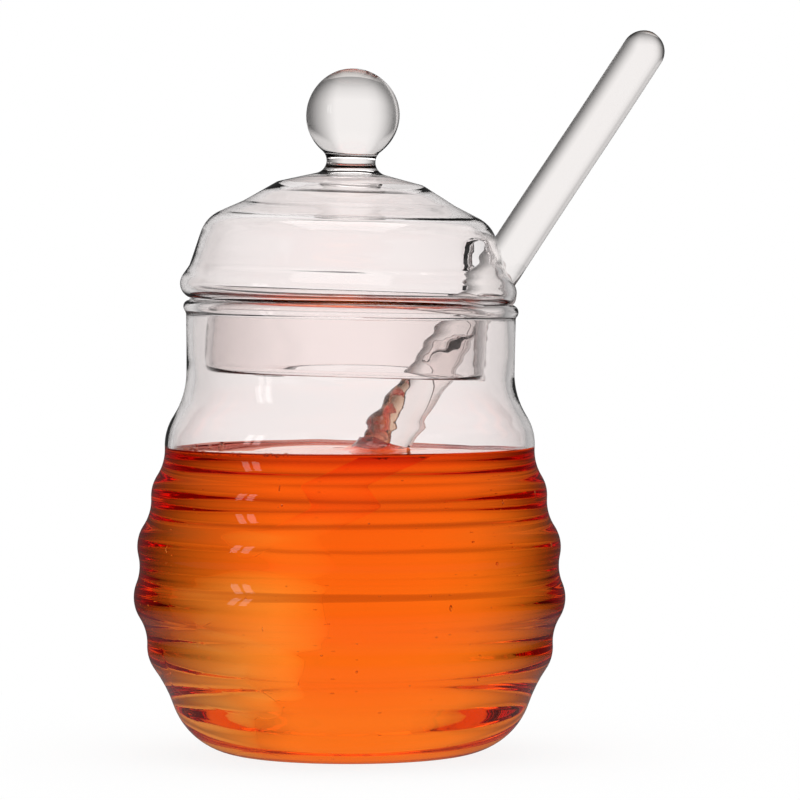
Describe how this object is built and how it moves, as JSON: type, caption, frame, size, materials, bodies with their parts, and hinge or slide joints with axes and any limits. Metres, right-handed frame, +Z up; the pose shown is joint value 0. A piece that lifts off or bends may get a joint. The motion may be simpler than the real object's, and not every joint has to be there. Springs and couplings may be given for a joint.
{
  "type": "honey jar with dipper",
  "caption": "Ridged clear glass honey jar with a domed, ball-knobbed lid, slotted for a leaning glass dipper, filled with amber honey.",
  "frame": {"origin": "centre of the jar's foot, on the surface that it stands on", "axes": "+Z up along the jar's axis; the dipper leans towards +X and a little to the back, +Y; the front is -Y"},
  "size_m": [0.1048, 0.0864, 0.1445],
  "materials": {
    "jar_glass": "clear blown glass, glossy",
    "lid_glass": "clear blown glass, glossy",
    "dipper_glass": "clear solid glass, fire-polished",
    "honey": "clear amber honey, wet gloss"
  },
  "bodies": {
    "root": {"jar": "jar_glass", "lid": "lid_glass", "dipper": "dipper_glass", "honey": "honey"}
  },
  "joints": []
}
